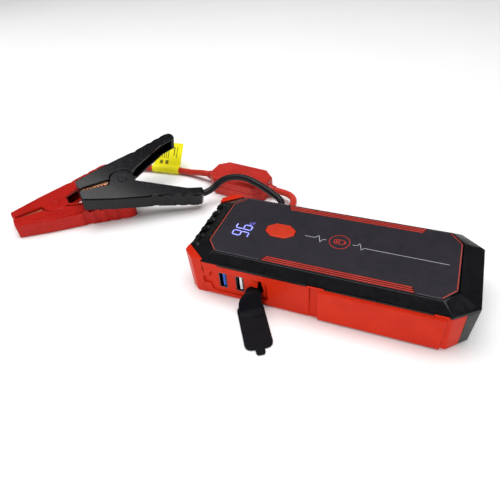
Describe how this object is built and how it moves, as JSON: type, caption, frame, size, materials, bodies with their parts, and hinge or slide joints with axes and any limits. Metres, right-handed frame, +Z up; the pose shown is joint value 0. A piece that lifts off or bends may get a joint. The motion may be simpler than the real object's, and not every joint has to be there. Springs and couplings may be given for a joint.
{
  "type": "jump starter pack",
  "caption": "Battery jump starter with power button, display window, hanging rubber port cover, and a plugged-in lead set with a control box and two spring clamps.",
  "frame": {"origin": "centre of the pack's flat bottom, on the surface it stands on", "axes": "+X along the pack's length towards its dark end cover, -Y out of the side with the USB ports, +Z up"},
  "size_m": [0.375, 0.1958, 0.0417],
  "materials": {
    "housing_red": "satin moulded plastic",
    "cover_black": "semi-gloss moulded plastic",
    "panel_charcoal": "satin, very fine grain",
    "accent_red": "satin moulded plastic",
    "button_red": "satin moulded plastic",
    "switch_black": "matte",
    "display_white": "matte",
    "board_green": "solder mask",
    "cell_foil": "laminated foil",
    "port_steel": "pressed steel",
    "tongue_blue": "moulded",
    "tongue_white": "moulded",
    "end_dark": "satin",
    "lens_clear": "clear polished",
    "reflector_chrome": "vacuum-metallised",
    "led_yellow": "phosphor",
    "socket_blue": "moulded",
    "contact_gold": "gold plated",
    "bus_copper": "bare copper",
    "screw_steel": "zinc plated",
    "rubber_black": "matte",
    "plug_blue": "moulded",
    "box_red": "satin moulded plastic",
    "gland_red": "soft rubber",
    "relay_blue": "moulded",
    "lead_red": "smooth flexible sleeve",
    "lead_black": "smooth flexible sleeve",
    "label_yellow": "printed film",
    "clamp_red": "gloss moulded plastic",
    "clamp_black": "gloss moulded plastic",
    "jaw_copper": "pressed copper",
    "spring_steel": "drawn wire"
  },
  "bodies": {
    "pack": {"lower_housing": "housing_red", "top_cover": "cover_black", "top_panel": "panel_charcoal", "accent_strip_near": "accent_red", "accent_strip_far": "accent_red", "button_switch": "switch_black", "display_module": "display_white", "main_board": "board_green", "port_board": "board_green", "battery_cell_1": "cell_foil", "battery_cell_2": "cell_foil", "battery_cell_3": "cell_foil", "battery_cell_4": "cell_foil", "usb_shell_1": "port_steel", "usb_shell_2": "port_steel", "usb_tongue_1": "tongue_blue", "usb_tongue_2": "tongue_white", "charge_port": "port_steel", "end_cover": "end_dark", "torch_lens": "lens_clear", "torch_reflector": "reflector_chrome", "torch_led": "led_yellow", "jump_socket": "socket_blue", "socket_contacts": "contact_gold", "bus_bars": "bus_copper", "housing_screws": "screw_steel", "cover_strap": "rubber_black", "plug_body": "plug_blue", "plug_contacts": "contact_gold", "control_box_base": "box_red", "control_box_lid": "box_red", "control_box_glands": "gland_red", "control_box_board": "board_green", "control_box_relay": "relay_blue", "red_lead_clamp_side": "lead_red", "red_lead_pack_side": "lead_red", "black_lead": "lead_black", "warning_label": "label_yellow", "red_clamp_body": "clamp_red", "red_clamp_body_jaw": "jaw_copper", "red_clamp_pin": "clamp_red", "red_clamp_spring": "spring_steel", "red_clamp_braid": "bus_copper", "red_clamp_wire": "lead_red", "black_clamp_body": "clamp_black", "black_clamp_body_jaw": "jaw_copper", "black_clamp_pin": "clamp_black", "black_clamp_spring": "spring_steel", "black_clamp_braid": "bus_copper", "black_clamp_wire": "lead_black"},
    "power_button": {"power_button": "button_red"},
    "port_cover": {"port_cover": "rubber_black"},
    "red_lever": {"red_clamp_lever": "clamp_red", "red_clamp_lever_jaw": "jaw_copper"},
    "black_lever": {"black_clamp_lever": "clamp_black", "black_clamp_lever_jaw": "jaw_copper"},
    "cover_knuckle": {"cover_knuckle": "rubber_black"}
  },
  "joints": [
    {"name": "power_button_press", "type": "slide", "parent": "pack", "child": "power_button", "axis": [0, 0, -1], "range_m": [0, 0.0008], "stiffness_N_per_m": 600, "springref_m": -0.001},
    {"name": "port_cover_swing", "type": "hinge", "parent": "pack", "child": "cover_knuckle", "pos_m": [-0.03887, -0.04005, 0.00474], "axis": [0.8277, -0.1205, 0.548], "range_deg": [-179.98, 0], "deforming": ["cover_strap"]},
    {"name": "port_cover_turn", "type": "hinge", "parent": "cover_knuckle", "child": "port_cover", "pos_m": [-0.03754, -0.0416, 0.00199], "axis": [-0.0196, -0.6642, -0.7473], "range_deg": [-165.09, 0]},
    {"name": "red_clamp_squeeze", "type": "hinge", "parent": "pack", "child": "red_lever", "pos_m": [-0.2482, 0.0068, 0.0071], "axis": [0, 0, 1], "range_deg": [0, 32], "stiffness_Nm_per_rad": 1.2, "springref_deg": -14.32, "deforming": ["red_clamp_spring", "red_clamp_braid"]},
    {"name": "black_clamp_squeeze", "type": "hinge", "parent": "pack", "child": "black_lever", "pos_m": [-0.1928, 0.0353, 0.0262], "axis": [-0.2495, 0.1542, -0.956], "range_deg": [0, 32], "stiffness_Nm_per_rad": 1.2, "springref_deg": -14.32, "deforming": ["black_clamp_spring", "black_clamp_braid"]}
  ],
  "couplings": [
    {"joint": "port_cover_turn", "follows": "port_cover_swing", "ratio": 0.91726}
  ]
}
